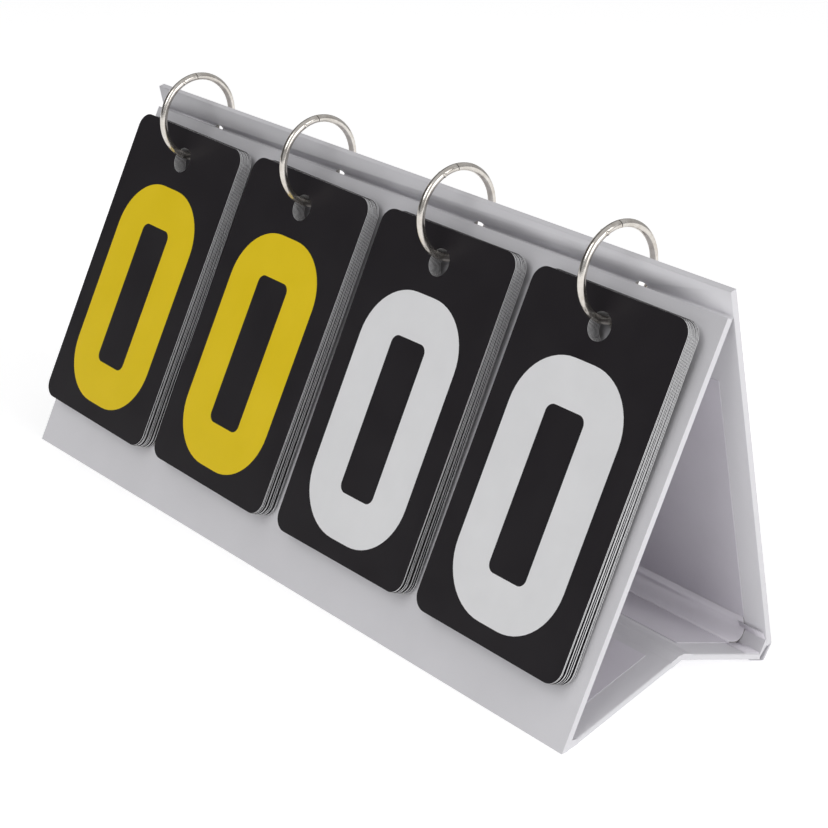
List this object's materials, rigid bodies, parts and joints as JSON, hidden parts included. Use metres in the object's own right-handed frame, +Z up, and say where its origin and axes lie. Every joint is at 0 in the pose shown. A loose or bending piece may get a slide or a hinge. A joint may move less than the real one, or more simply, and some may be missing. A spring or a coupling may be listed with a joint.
{
  "type": "scoring board",
  "caption": "Folding tabletop stand of wrapped board with digit cards hanging on hinged rings along its ridge; the front card of each set flips over to the back.",
  "frame": {"origin": "centre of the footprint on the table, at the bottom of the bounding box", "axes": "+X along the length to the viewer's right, the cards face -Y, +Z up"},
  "size_m": [0.3, 0.0919, 0.145],
  "materials": {
    "cover": "matte",
    "liner": "matte",
    "card": "satin",
    "nickel": "polished"
  },
  "bodies": {
    "front_stand": {"front_panel": "cover", "front_liner": "liner", "set1_card_1": "card", "set1_card_2": "card", "set1_card_3": "card", "set1_card_4": "card", "set1_card_5": "card", "set1_card_6": "card", "set1_card_7": "card", "set1_card_8": "card", "set1_card_9": "card", "set2_card_1": "card", "set2_card_2": "card", "set2_card_3": "card", "set2_card_4": "card", "set2_card_5": "card", "set2_card_6": "card", "set2_card_7": "card", "set2_card_8": "card", "set2_card_9": "card", "set3_card_1": "card", "set3_card_2": "card", "set3_card_3": "card", "set3_card_4": "card", "set3_card_5": "card", "set3_card_6": "card", "set3_card_7": "card", "set3_card_8": "card", "set3_card_9": "card", "set4_card_1": "card", "set4_card_2": "card", "set4_card_3": "card", "set4_card_4": "card", "set4_card_5": "card", "set4_card_6": "card", "set4_card_7": "card", "set4_card_8": "card", "set4_card_9": "card"},
    "rear": {"rear_panel": "cover", "rear_liner": "liner", "rear_corner_strip": "cover"},
    "base_front": {"base_front_panel": "cover", "base_front_liner": "liner"},
    "base_rear": {"base_rear_panel": "cover", "base_rear_liner": "liner"},
    "ring1": {"ring1_front_half": "nickel"},
    "ring1_gate": {"ring1_rear_half": "nickel"},
    "set1_front_card": {"set1_card_0": "card"},
    "ring2": {"ring2_front_half": "nickel"},
    "ring2_gate": {"ring2_rear_half": "nickel"},
    "set2_front_card": {"set2_card_0": "card"},
    "ring3": {"ring3_front_half": "nickel"},
    "ring3_gate": {"ring3_rear_half": "nickel"},
    "set3_front_card": {"set3_card_0": "card"},
    "ring4": {"ring4_front_half": "nickel"},
    "ring4_gate": {"ring4_rear_half": "nickel"},
    "set4_front_card": {"set4_card_0": "card"}
  },
  "joints": [
    {"name": "fold", "type": "hinge", "parent": "front_stand", "child": "rear", "pos_m": [0, 0.01804, 0.12261], "axis": [-1, 0, 0], "range_deg": [0, 28]},
    {"name": "base_front_fold", "type": "hinge", "parent": "front_stand", "child": "base_front", "pos_m": [0, -0.04165, 0.0029], "axis": [1, 0, 0], "range_deg": [0, 45]},
    {"name": "base_rear_fold", "type": "hinge", "parent": "rear", "child": "base_rear", "pos_m": [0, 0.0425, 0.0029], "axis": [-1, 0, 0], "range_deg": [0, 57]},
    {"name": "ring1_turn", "type": "hinge", "parent": "front_stand", "child": "ring1", "pos_m": [-0.1148, 0.01029, 0.12837], "axis": [1, 0, 0], "range_deg": [-10, 350]},
    {"name": "ring1_open", "type": "hinge", "parent": "ring1", "child": "ring1_gate", "pos_m": [-0.1148, 0.00404, 0.14234], "axis": [-1, 0, 0], "range_deg": [-12, 0]},
    {"name": "set1_flip", "type": "hinge", "parent": "front_stand", "child": "set1_front_card", "pos_m": [-0.1148, 0.01029, 0.12837], "axis": [-1, 0, 0], "range_deg": [0, 190]},
    {"name": "ring2_turn", "type": "hinge", "parent": "front_stand", "child": "ring2", "pos_m": [-0.0402, 0.01029, 0.12837], "axis": [1, 0, 0], "range_deg": [-10, 350]},
    {"name": "ring2_open", "type": "hinge", "parent": "ring2", "child": "ring2_gate", "pos_m": [-0.0402, 0.00404, 0.14234], "axis": [-1, 0, 0], "range_deg": [-12, 0]},
    {"name": "set2_flip", "type": "hinge", "parent": "front_stand", "child": "set2_front_card", "pos_m": [-0.0402, 0.01029, 0.12837], "axis": [-1, 0, 0], "range_deg": [0, 190]},
    {"name": "ring3_turn", "type": "hinge", "parent": "front_stand", "child": "ring3", "pos_m": [0.0345, 0.01029, 0.12837], "axis": [1, 0, 0], "range_deg": [-10, 350]},
    {"name": "ring3_open", "type": "hinge", "parent": "ring3", "child": "ring3_gate", "pos_m": [0.0345, 0.00404, 0.14234], "axis": [-1, 0, 0], "range_deg": [-12, 0]},
    {"name": "set3_flip", "type": "hinge", "parent": "front_stand", "child": "set3_front_card", "pos_m": [0.0345, 0.01029, 0.12837], "axis": [-1, 0, 0], "range_deg": [0, 190]},
    {"name": "ring4_turn", "type": "hinge", "parent": "front_stand", "child": "ring4", "pos_m": [0.1097, 0.01029, 0.12837], "axis": [1, 0, 0], "range_deg": [-10, 350]},
    {"name": "ring4_open", "type": "hinge", "parent": "ring4", "child": "ring4_gate", "pos_m": [0.1097, 0.00404, 0.14234], "axis": [-1, 0, 0], "range_deg": [-12, 0]},
    {"name": "set4_flip", "type": "hinge", "parent": "front_stand", "child": "set4_front_card", "pos_m": [0.1097, 0.01029, 0.12837], "axis": [-1, 0, 0], "range_deg": [0, 190]}
  ],
  "couplings": [
    {"joint": "base_front_fold", "follows": "fold", "ratio": 1.6},
    {"joint": "base_rear_fold", "follows": "fold", "ratio": 2}
  ]
}
